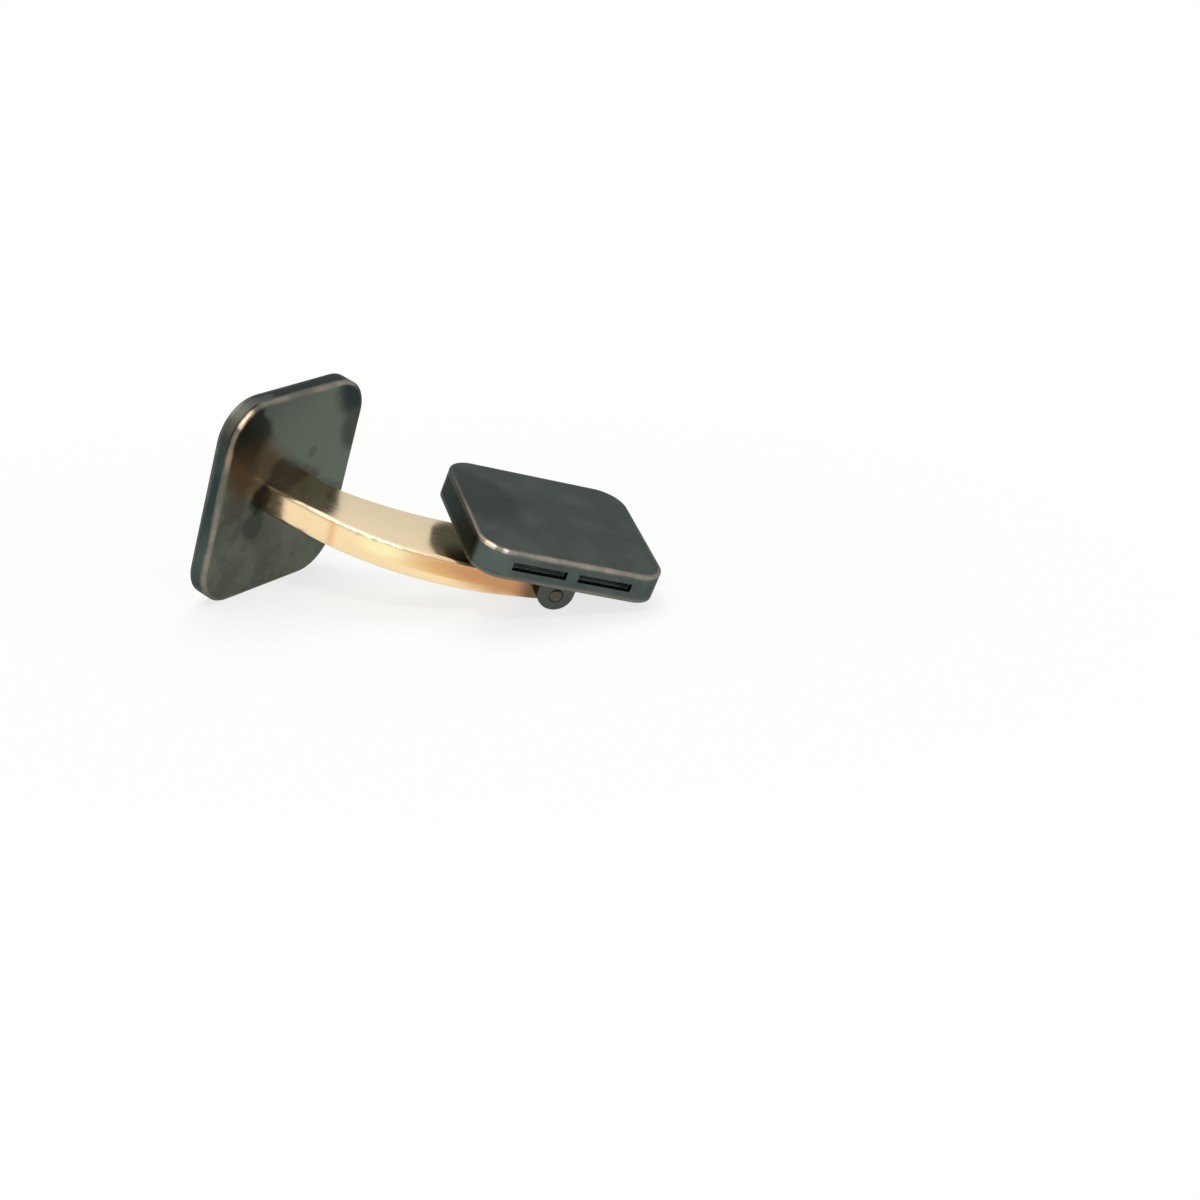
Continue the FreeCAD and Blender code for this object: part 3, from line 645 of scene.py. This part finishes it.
def arris_wear(tree, own, depth, distance, bare, worn_side):
    """1 along the arris, and the share of the film that is gone there, which bare limits."""
    from_arris = add_node(tree, "Math", {0: depth, 1: distance}, operation="SUBTRACT").outputs[0]
    rub = add_node(
        tree, "TexNoise", {"Vector": own, "Scale": 1 / RUB_MM, "Detail": 4, "Roughness": 0.7}
    ).outputs[0]
    ragged = add_node(
        tree, "Math", {0: rub, 1: -RAGGED_MM, 2: from_arris}, operation="MULTIPLY_ADD"
    ).outputs[0]
    limits = {1: BARE_TO - RAGGED_MM / 2, 2: FILM_FROM - RAGGED_MM / 2}
    arris = add_node(
        tree, "MapRange", {0: ragged, 3: 1, 4: 0, **limits}, interpolation_type="SMOOTHSTEP"
    ).outputs[0]
    limits = {1: RUB_LOW, 2: RUB_HIGH, 3: bare / 2, 4: bare}
    amount = add_node(tree, "MapRange", {0: rub, **limits}).outputs[0]
    lean = add_node(tree, "VectorMath", {0: own, 1: worn_side}, operation="DOT_PRODUCT").outputs["Value"]
    limits = {1: WEAR_FROM, 2: WEAR_FULL, 3: WEAR_LEAST}
    handled = add_node(tree, "MapRange", {0: lean, **limits}).outputs[0]
    worn = add_node(tree, "Math", {0: arris, 1: amount}, operation="MULTIPLY").outputs[0]
    worn = add_node(tree, "Math", {0: worn, 1: handled}, operation="MULTIPLY").outputs[0]
    return arris, worn


# %% Gloss of a plate
# Thick film is duller than thin film, and raw sheet is nearly matt. Polishing left lines, which are finer
# on the real plate and are drawn this coarse so that they show.
DULL_LOW = 0.3
DULL_HIGH = 0.7
FILM_GLOSSY = 0.24
FILM_DULL = 0.36
BARE_DULL = 0.28
RAW_DULL = 0.85
PLATE_SCRATCH_MM = 0.22
PLATE_SCRATCH_DEPTH = 0.002
PLATE_SCRATCH_BUMP = 0.4
PLATE_STRETCH = (1, 0.1, 1)
PLATE_WAVE_HEIGHT = 0.03
PLATE_WAVE_BUMP = 0.3


def sheet_gloss(tree, shader, own, cloud, worn, raw):
    """Roughness from the film's clouds, its wear and the raw inside, then waves and polishing lines."""
    limits = {1: DULL_LOW, 2: DULL_HIGH, 3: FILM_GLOSSY, 4: FILM_DULL}
    dull = add_node(tree, "MapRange", {0: cloud, **limits}).outputs[0]
    dull = add_node(tree, "MapRange", {0: worn, 3: dull, 4: BARE_DULL}).outputs[0]
    dull = add_node(tree, "MapRange", {0: raw, 3: dull, 4: RAW_DULL}).outputs[0]
    tree.links.new(dull, shader.inputs["Roughness"])
    drawn = add_node(tree, "VectorMath", {0: own, 1: PLATE_STRETCH}, operation="MULTIPLY").outputs[0]
    scratch = add_node(
        tree, "TexNoise", {"Vector": drawn, "Scale": 1 / PLATE_SCRATCH_MM, "Detail": 3}
    ).outputs[0]
    bump = {"Height": cloud, "Distance": PLATE_WAVE_HEIGHT * MM, "Strength": PLATE_WAVE_BUMP}
    waves = add_node(tree, "Bump", bump).outputs[0]
    bump = {"Height": scratch, "Distance": PLATE_SCRATCH_DEPTH * MM, "Strength": PLATE_SCRATCH_BUMP}
    lines = add_node(tree, "Bump", {"Normal": waves, **bump}).outputs[0]
    tree.links.new(lines, shader.inputs["Normal"])


# %% Blackened sheet: a soft grey gloss with a paler line where the arris is bare
BARE_BRASS = "#B4A392"
RAW_INSIDE = "#D5DBD5"


def blackened_sheet(node, place, corner, outward, films, bare, worn_side, stains=(), rim_wear_and_glints=()):
    """A plate's metal. Outward points out of its outer face, and bare says how far its arris is worn."""
    metal, tree, shader = new_metal("blackened_brass_" + node)
    own = own_millimetres(tree, place)
    flat_axis = next(axis for axis in range(3) if outward[axis])
    colour, cloud = film(tree, shader, own, *films)
    colour = blotches(tree, own, colour, cloud, stains, flat_axis)
    box = own_box(node, place)
    depth, distance, raw = sheet_depths(tree, own, box, corner, outward, flat_axis)
    colour = add_node(tree, "Mix", {0: raw, 6: colour, 7: linear(RAW_INSIDE)}, data_type="RGBA").outputs[2]
    arris, worn = arris_wear(tree, own, depth, distance, bare, worn_side)
    colour = add_node(tree, "Mix", {0: worn, 6: colour, 7: linear(BARE_BRASS)}, data_type="RGBA").outputs[2]
    # Rim marks go on the arris: wear, and at plate corners painted glints, bright spots that stand for the light's
    # glint.
    colour = blotches(tree, own, colour, cloud, rim_wear_and_glints, flat_axis, arris)
    tree.links.new(colour, shader.inputs["Base Color"])
    sheet_gloss(tree, shader, own, cloud, worn, raw)
    dress(metal, nodes[node])


# %% The head's plates
# The head's inner face is mottled, with black corners; the torch that soldered the bar left brown and black stains
# round the root, where the black is partly painted shade. A pale patch is partly heat tint and partly a painted
# reflection of the white table. Fingers have worn the rim most on the near side.
HEAD_CORNER = 3.2
ALONG_X = Vector((1, 0, 0))
HEAD_WORN = (0, -0.8, 0.6)
HEAD_FILM = ("#50544A", "#61665C")
FRONT_FILM = ("#3A4444", "#454E4C")
PALE_CORNER = (-7.0, 8.0, 2.3, "#5C5C53", 0.9)
HEAD_STAINS_AND_PAINTED_LIGHT = (
    (-5.9, 6.4, 3.0, "#2F342F", 0.95),  # black near upper corner
    (-5.0, 3.2, 2.6, "#4A4137", 0.85),  # brown below that corner
    (-2.4, 3.2, 2.2, "#6A675A", 0.9),  # paler brown between the corner and the root
    (-5.6, 0.2, 1.6, "#4A443A", 0.6),  # brown beside the root
    (-3.0, -2.3, 1.1, "#3A3D36", 0.7),  # dark spot below the root
    (-1.2, 2.0, 1.2, "#4A4A45", 0.9),  # four dark blotches in a row above the root
    (0.4, 1.7, 1.2, "#4C504D", 0.9),
    (1.9, 1.4, 1.1, "#4A4A45", 0.85),
    (3.2, 1.0, 1.1, "#48453F", 0.8),
    # Painted shade in part: the black at the root also stands for the shade where the bar stands on the head.
    (-2.5, 0.3, 1.5, "#1F231D", 0.95),  # black scorch at the root
    # Painted reflection in part: the pale patch also stands for the white table mirrored in the face.
    (15.3, 21.6, 24.1, "#646C62", 0.85, 23.7, 24.4),  # pale patch with a long crisp edge
    (6.8, 7.8, 3.0, "#2A3233", 0.95),  # black far upper corner
    (7.4, 4.0, 2.2, "#3C3F37", 0.8),  # brown far edge
    (2.3, 2.8, 0.6, "#4E5048", 0.6),  # small spot on the pale patch
)
HEAD_RIM_WEAR_AND_GLINTS = (
    # Painted glints: these two bright spots stand for the light's glint on the corner, which is also rubbed bare.
    (-6.63, 7.19, 0.5, "#F6D3B4", 1),  # corner rubbed bright
    (-6.1, 7.7, 0.55, "#D0B196", 0.75),
    (-7.3, 4.7, 1.0, "#A08C76", 0.35),  # bare stretch below it
    (-7.3, 2.0, 1.8, "#4E4F48", 0.6),  # film that is left on the near rim
    (-0.6, 8.4, 1.6, "#4E524B", 0.45),  # film that is left on the upper rim
    (4.8, 8.3, 1.3, "#A89F90", 0.5),  # bare stretch at its far end
)
blackened_sheet(
    "head_front_plate", head_place, HEAD_CORNER, -ALONG_X, FRONT_FILM,
    bare=0.2, worn_side=HEAD_WORN, stains=[PALE_CORNER],
)
blackened_sheet(
    "head_back_plate", head_place, HEAD_CORNER, ALONG_X, HEAD_FILM,
    bare=0.5, worn_side=HEAD_WORN, stains=HEAD_STAINS_AND_PAINTED_LIGHT, rim_wear_and_glints=HEAD_RIM_WEAR_AND_GLINTS,
)

# %% The toggle's plates
TOGGLE_CORNER = 2.25
ALONG_Z = Vector((0, 0, 1))
TOGGLE_WORN = (-0.15, -0.95, 0)
TOGGLE_FILM = ("#4F5854", "#59625D")
LEFT_END = (-6.5, 1.0, 4.0, "#434B47", 0.8)
TOGGLE_GLINTS = (
    # Painted glints: these two bright spots stand for the light's glint on the corner, which is also rubbed bare.
    (-7.16, -6.03, 0.5, "#F9D9BC", 1),  # corner rubbed bright
    (-6.15, -6.55, 0.3, "#E6CFC8", 0.9),
)
blackened_sheet(
    "toggle_base_plate", toggle_place, TOGGLE_CORNER, -ALONG_Z, TOGGLE_FILM,
    bare=0.3, worn_side=TOGGLE_WORN,
)
blackened_sheet(
    "toggle_top_plate", toggle_place, TOGGLE_CORNER, ALONG_Z, TOGGLE_FILM,
    bare=0.65, worn_side=TOGGLE_WORN, stains=[LEFT_END], rim_wear_and_glints=TOGGLE_GLINTS,
)

# %% [markdown]
# ## Blackened bands and ears
# The bands are drawn strip, bent to the outline and never polished after blackening, so they are bluish grey
# and duller than the plates. The toggle's end that faces the head is painted darker, as a reflection of the dark
# head and bar. The ears are cut from the same strip.

# %% Blackened strip
# Drawing leaves a fine grain, which dulls the strip. It is drawn coarser than it is, so that it shows.
STRIP_DULL = 0.36
STRIP_UNEVEN = 0.06
GRAIN_MM = 0.12
GRAIN_DEPTH = 0.004
GRAIN_BUMP = 0.5
BAND_GAUGE = 0.6
RAW_FROM = 0.9


def blackened_strip(name, place, films, pieces, flat_axis, stains=(), box=None, corner=0, painted_dark_end=None):
    """Strip with a fine grain. A box is the band's outline, inside of which it is raw."""
    metal, tree, shader = new_metal(name)
    own = own_millimetres(tree, place)
    colour, cloud = film(tree, shader, own, *films)
    colour = blotches(tree, own, colour, cloud, stains, flat_axis)
    # The end that faces the head is painted darker, as a painted reflection of the dark head and bar.
    if painted_dark_end:
        start, end, code = painted_dark_end
        along = add_node(tree, "SeparateXYZ", {0: own}).outputs["X"]
        share = add_node(
            tree, "MapRange", {0: along, 1: start, 2: end, 3: 1, 4: 0}, interpolation_type="SMOOTHSTEP"
        ).outputs[0]
        colour = add_node(tree, "Mix", {0: share, 6: colour, 7: linear(code)}, data_type="RGBA").outputs[2]
    grain = add_node(tree, "TexNoise", {"Vector": own, "Scale": 1 / GRAIN_MM, "Detail": 2}).outputs[0]
    limits = {3: STRIP_DULL - STRIP_UNEVEN, 4: STRIP_DULL + STRIP_UNEVEN}
    dull = add_node(tree, "MapRange", {0: grain, **limits}).outputs[0]
    if box:
        distance = outline_distance(tree, own, box, corner, flat_axis)
        raw = add_node(
            tree, "Math", {0: distance, 1: -RAW_FROM * BAND_GAUGE}, operation="LESS_THAN"
        ).outputs[0]
        colour = add_node(
            tree, "Mix", {0: raw, 6: colour, 7: linear(RAW_INSIDE)}, data_type="RGBA"
        ).outputs[2]
        dull = add_node(tree, "MapRange", {0: raw, 3: dull, 4: RAW_DULL}).outputs[0]
    tree.links.new(colour, shader.inputs["Base Color"])
    tree.links.new(dull, shader.inputs["Roughness"])
    bump = {"Height": grain, "Distance": GRAIN_DEPTH * MM, "Strength": GRAIN_BUMP}
    tree.links.new(add_node(tree, "Bump", bump).outputs[0], shader.inputs["Normal"])
    dress(metal, *(nodes[piece] for piece in pieces))


# %% The head's band, the toggle's band and the ears
# The painted dark end's row gives where it starts and stops fading along the toggle, in millimetres, and its
# colour.
BAND_STAINS = (
    PALE_CORNER,
    (-7.3, 4.8, 1.5, "#343C3B", 0.6),  # darker stretches on the near side
    (-7.3, 1.5, 2.2, "#2E3B38", 0.7),
    (-7.4, -4.0, 2.0, "#4E5856", 0.5),  # paler foot
    (-0.5, 8.5, 2.5, "#363D39", 0.6),  # dark and pale stretch on the upper side
    (-4.2, 8.0, 1.3, "#5E6660", 0.7),
)
TOGGLE_STRIP = ("#48514F", "#525A56")
NEAR_CORNER = (-6.9, -5.8, 2.0, "#66706A", 0.45)
PAINTED_DARK_END = (-7.92, -7.7, "#3A413B")
EAR_STRIP = ("#505650", "#5C5B55")
blackened_strip("blackened_strip_head", head_place, FRONT_FILM, ["head_side_band"], 0, BAND_STAINS)
blackened_strip(
    "blackened_strip_toggle", toggle_place, TOGGLE_STRIP, ["toggle_side_band"], 2, [NEAR_CORNER],
    box=own_box("toggle_side_band", toggle_place), corner=TOGGLE_CORNER, painted_dark_end=PAINTED_DARK_END,
)
blackened_strip("blackened_strip_ears", toggle_place, EAR_STRIP, ["hinge_ear_near", "hinge_ear_far"], 1)

# %% [markdown]
# ## Hinge pin and leaf spring
# The pin is brass wire, riveted over at both ends and darkened to a dull brown. The spring is a bowed strip
# of phosphor bronze, reddish and a little glossier, that shows only through the windows and from below. Both
# are so small that clouds of two colours are enough.

# %% Tarnished brass wire and rolled phosphor bronze
TARNISH_LOW = 0.38
TARNISH_HIGH = 0.62
DULLER = 0.12
GLOSSIER = 0.06


def small_metal(name, piece, dark, light, cloud_mm, roughness):
    """A metal in clouds of two colours, glossier where it is light."""
    metal, tree, shader = new_metal(name)
    own = own_millimetres(tree, toggle_place)
    cloud = add_node(tree, "TexNoise", {"Vector": own, "Scale": 1 / cloud_mm, "Detail": 4}).outputs[0]
    shade = add_node(
        tree, "MapRange", {0: cloud, 1: TARNISH_LOW, 2: TARNISH_HIGH}, interpolation_type="SMOOTHSTEP"
    ).outputs[0]
    colour = add_node(
        tree, "Mix", {0: shade, 6: linear(dark), 7: linear(light)}, data_type="RGBA"
    ).outputs[2]
    tree.links.new(colour, shader.inputs["Base Color"])
    limits = {3: roughness + DULLER, 4: roughness - GLOSSIER}
    dull = add_node(tree, "MapRange", {0: cloud, **limits}).outputs[0]
    tree.links.new(dull, shader.inputs["Roughness"])
    dress(metal, nodes[piece])


small_metal(
    "brass_wire_tarnished", "hinge_pin", dark="#56514A", light="#6B5A4F", cloud_mm=0.5, roughness=0.35
)
small_metal(
    "phosphor_bronze_rolled", "leaf_spring", dark="#8A5A42", light="#B98466", cloud_mm=1.2, roughness=0.3
)

# %% [markdown]
# ## Table and light
# The cufflink lies on a white table in a white tent, so soft light comes from everywhere. A small key lamp
# high in front gives the worn edges their glints, and two weaker lamps fill in. The table is painted so that
# the camera and the mirrors in the metal see it white, while it still takes the soft shadow under the piece.

# %% White table, matt so that it shows no gloss of its own
FLOOR_SIZE = 6.0
FLOOR_WHITE = "#F1F7EE"
FLOOR_DULL = 0.9
WHITE = (1, 1, 1, 1)
bpy.ops.object.select_all(action="DESELECT")
bpy.ops.mesh.primitive_plane_add(size=FLOOR_SIZE)
floor = bpy.context.object
floor.name = "table"
paint = bpy.data.materials.new("white_table")
paint.use_nodes = True
tree = paint.node_tree
matt = tree.nodes["Principled BSDF"]
matt.inputs["Base Color"].default_value = linear(FLOOR_WHITE)
matt.inputs["Roughness"].default_value = FLOOR_DULL
floor.data.materials.append(paint)
print("table of", FLOOR_SIZE, "m")

# %% The table is white to the eye, and takes a shadow close to the cufflink
# Light Path tells what a ray is for: rays that are seen get plain white, mixed with the lit paint near the
# cufflink, and rays that only carry light get the paint.
SHADOW_NEAR = 0.03
SHADOW_FAR = 0.09
SHADOW_SHARE = 0.25


def seen_rays(tree):
    """1 for rays from the camera, from mirrors and from glass, and 1 for those from the camera alone."""
    ray = add_node(tree, "LightPath").outputs
    seen = ray["Is Camera Ray"]
    for kind in ("Is Glossy Ray", "Is Transmission Ray"):
        seen = add_node(tree, "Math", {0: seen, 1: ray[kind]}, operation="MAXIMUM").outputs[0]
    return seen, ray["Is Camera Ray"]


seen, _ = seen_rays(tree)
world = add_node(tree, "TexCoord").outputs["Object"]
away = add_node(tree, "VectorMath", {0: world}, operation="LENGTH").outputs["Value"]
plain = add_node(
    tree, "MapRange", {0: away, 1: SHADOW_NEAR, 2: SHADOW_FAR, 3: 1 - SHADOW_SHARE, 4: 1},
    interpolation_type="SMOOTHSTEP",
).outputs[0]
share = add_node(tree, "Math", {0: seen, 1: plain}, operation="MULTIPLY").outputs[0]
white = add_node(tree, "Emission", {"Color": WHITE, "Strength": 1}).outputs[0]
mixed = add_node(tree, "MixShader", {0: share, 1: matt.outputs[0], 2: white}).outputs[0]
tree.links.new(mixed, tree.nodes["Material Output"].inputs["Surface"])
print("shadow within", SHADOW_FAR, "m")

# %% White surroundings
# The metal sees walls that are a little dimmer than the tent's top, which gives its faces different tones.
TENT_LEVEL = 0.36
WALL_LEVEL = 0.76
DIM_BELOW = 0.5
BRIGHT_ABOVE = 0.85
tent = bpy.data.worlds.new("white_tent")
bpy.context.scene.world = tent
tent.use_nodes = True
tree = tent.node_tree
lit = tree.nodes["Background"]
lit.inputs["Color"].default_value = WHITE
lit.inputs["Strength"].default_value = TENT_LEVEL
seen, from_camera = seen_rays(tree)
way = add_node(tree, "TexCoord").outputs["Generated"]
height = add_node(tree, "SeparateXYZ", {0: way}).outputs["Z"]
limits = {1: DIM_BELOW, 2: BRIGHT_ABOVE, 3: WALL_LEVEL, 4: 1}
level = add_node(tree, "MapRange", {0: height, **limits}).outputs[0]
level = add_node(tree, "Math", {0: level, 1: from_camera}, operation="MAXIMUM").outputs[0]
white = add_node(tree, "Background", {"Color": WHITE, "Strength": level}).outputs[0]
mixed = add_node(tree, "MixShader", {0: seen, 1: lit.outputs[0], 2: white}).outputs[0]
tree.links.new(mixed, tree.nodes["World Output"].inputs["Surface"])
print("tent level", TENT_LEVEL)

# %% Lamps
# A row gives a square lamp's name, its place and its size in metres, and its watts. The last one stands
# behind, so that the shadow falls to the near side. Mirrors don't see it, so it lights only the table.
LAMPS = (
    ("lamp_above", (-0.12, -0.1, 0.4), 0.3, 0.3),
    ("lamp_front", (0.25, -0.3, 0.2), 0.15, 0.25),
    ("lamp_key", (0, -0.25, 0.38), 0.07, 0.5),
    ("lamp_behind", (0, 0.2, 0.45), 0.35, 1.05),
)
for name, place, size, watts in LAMPS:
    bpy.ops.object.light_add(type="AREA", location=place)
    light = bpy.context.object
    light.name = name
    light.data.shape = "SQUARE"
    light.data.size = size
    light.data.energy = watts
    light.rotation_euler = (-Vector(place)).to_track_quat("-Z", "Y").to_euler()
    light.visible_glossy = name != "lamp_behind"
    print(name, watts, "W")

# %% [markdown]
# ## Camera
# The camera stands where the photograph was taken from, a little above the table. Its place, angles and
# lens come from fitting the outlines to the photograph.

# %% Camera at the photograph's angle
CAMERA_PLACE_MM = Vector((20.03, -153.07, 51.15))
CAMERA_AZIMUTH = -2.657
CAMERA_ELEVATION = 18.525
CAMERA_LENS = 63.5
CLIP_START = 0.005
sway = math.radians(CAMERA_AZIMUTH)
drop = math.radians(CAMERA_ELEVATION)
looks = Vector((math.sin(sway) * math.cos(drop), math.cos(sway) * math.cos(drop), -math.sin(drop)))
bpy.ops.object.camera_add(location=CAMERA_PLACE_MM * MM)
camera = bpy.context.object
camera.rotation_euler = looks.to_track_quat("-Z", "Y").to_euler()
camera.data.lens = CAMERA_LENS
camera.data.clip_start = CLIP_START
bpy.context.scene.camera = camera
bpy.context.scene.view_settings.view_transform = "Standard"
print("camera at", rounded(CAMERA_PLACE_MM), "mm")
